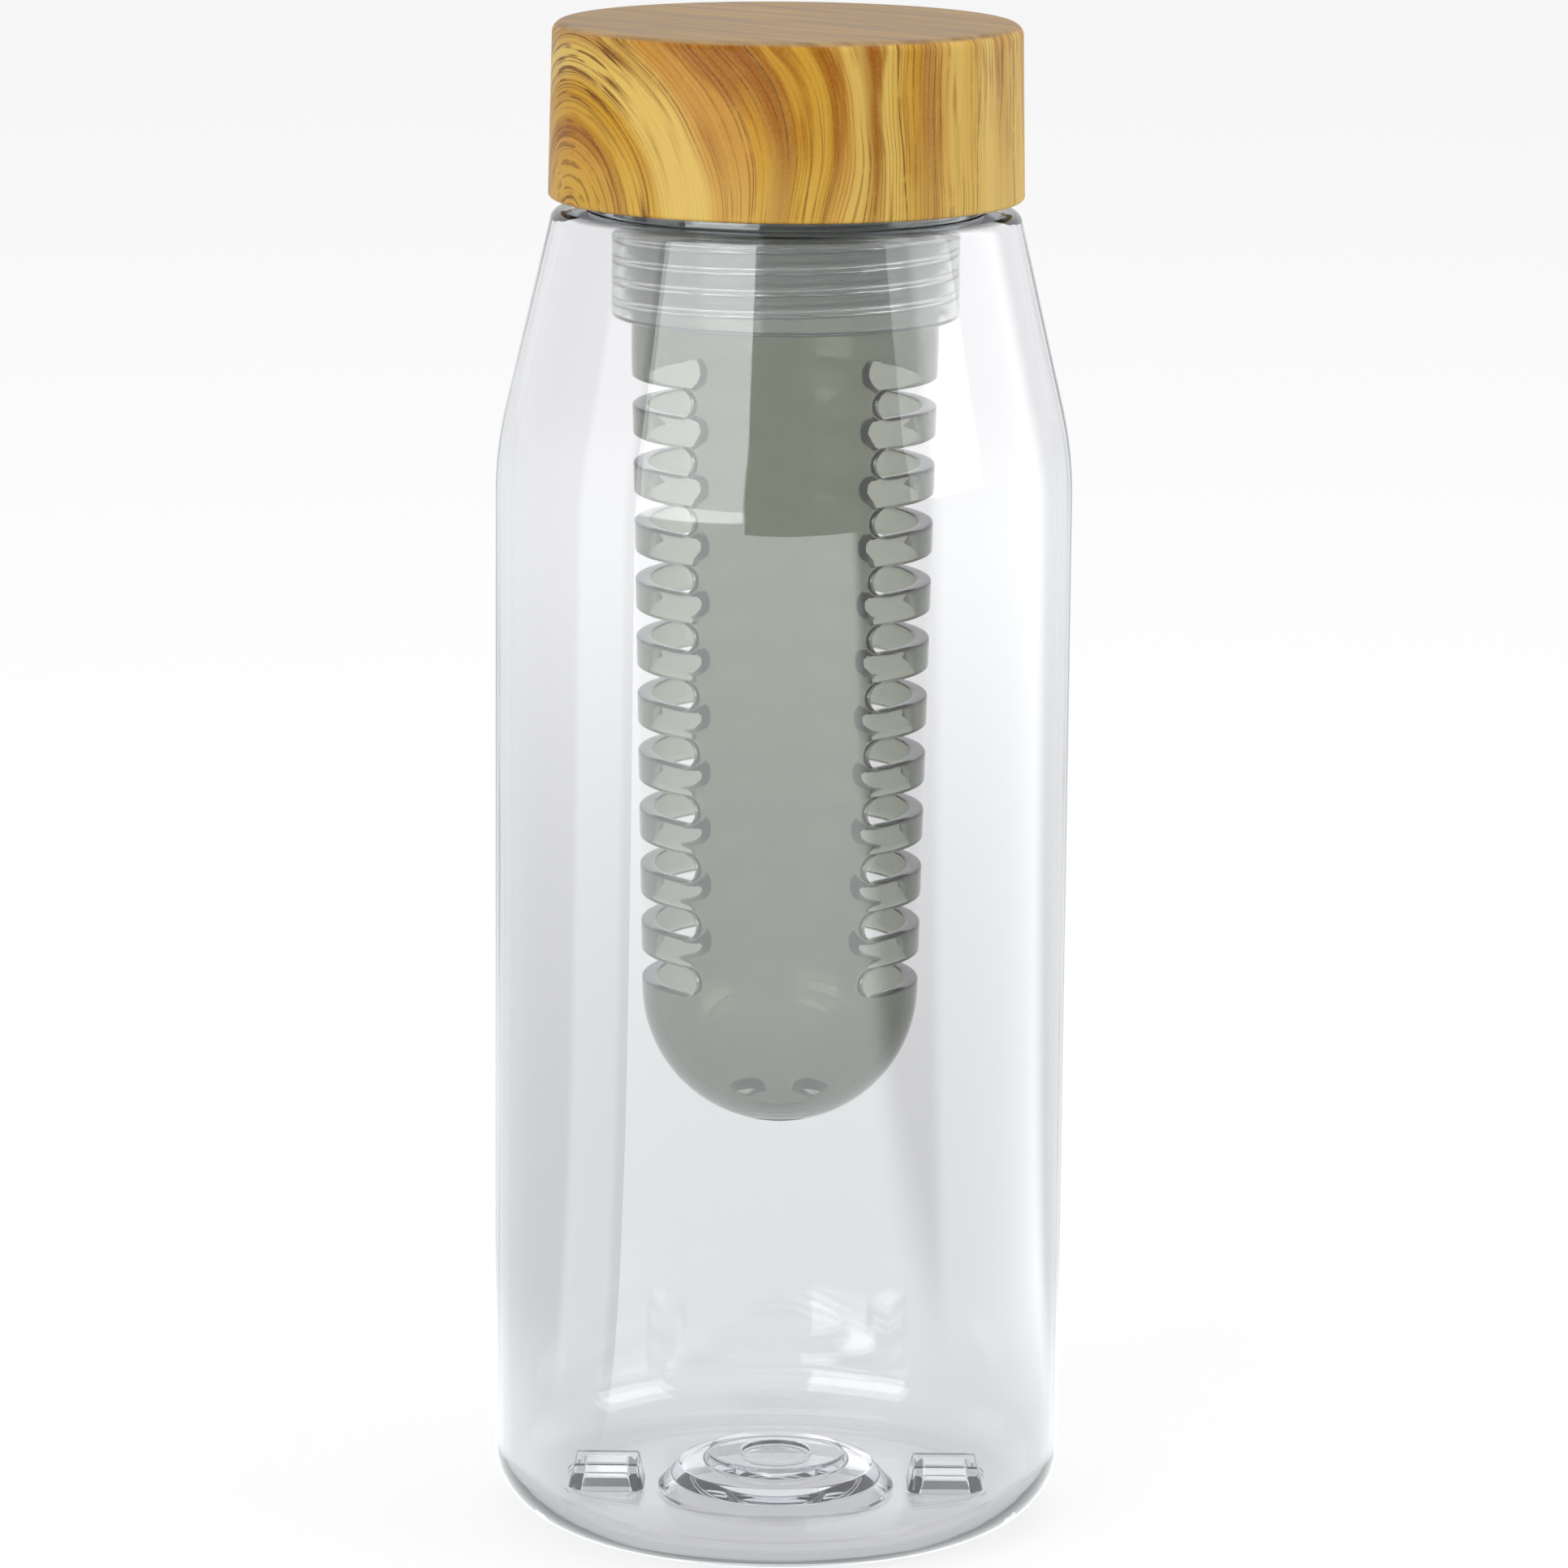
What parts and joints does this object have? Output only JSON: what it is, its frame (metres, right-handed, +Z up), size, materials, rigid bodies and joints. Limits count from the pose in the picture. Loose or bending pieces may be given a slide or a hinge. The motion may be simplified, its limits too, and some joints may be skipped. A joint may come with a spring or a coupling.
{
  "type": "fruit infuser water bottle",
  "caption": "Clear water bottle with a wood effect screw lid and a smoke infuser basket that hangs inside from the lid.",
  "frame": {"origin": "centre of the flat ring that the bottle stands on, on the bottle's axis", "axes": "+Z up along the bottle's axis, towards the lid; the slotted sides of the basket face +X and -X; the picture looks along +Y"},
  "size_m": [0.076, 0.076, 0.2002],
  "materials": {
    "clear_bottle": "clear copolyester, high gloss",
    "smoke_plastic": "smoke tinted translucent plastic, gloss",
    "frosted_plastic": "frosted translucent plastic",
    "silicone": "soft matt silicone",
    "wood_effect": "printed wood grain, satin"
  },
  "bodies": {
    "bottle": {"bottle_body": "clear_bottle"},
    "lid_ring": {"lid_seal": "silicone"},
    "lid": {"lid_liner": "frosted_plastic", "lid_shell": "wood_effect", "infuser_socket": "frosted_plastic"},
    "basket_ring": {"basket_seal": "silicone"},
    "basket": {"infuser_basket": "smoke_plastic"}
  },
  "joints": [
    {"name": "lid_rise", "type": "slide", "parent": "bottle", "child": "lid_ring", "axis": [0, 0, 1], "range_m": [0, 0.00501]},
    {"name": "lid_turn", "type": "hinge", "parent": "lid_ring", "child": "lid", "pos_m": [0, 0, 0.18], "axis": [0, 0, 1], "range_deg": [0, 450]},
    {"name": "basket_drop", "type": "slide", "parent": "lid", "child": "basket_ring", "axis": [0, 0, 1], "range_m": [-0.00826, 0]},
    {"name": "basket_turn", "type": "hinge", "parent": "basket_ring", "child": "basket", "pos_m": [0, 0, 0.17], "axis": [0, 0, 1], "range_deg": [-1080, 0]}
  ],
  "couplings": [
    {"joint": "lid_rise", "follows": "lid_turn", "m_per_rad": 0.00063662},
    {"joint": "basket_drop", "follows": "basket_turn", "m_per_rad": 0.00043768}
  ]
}
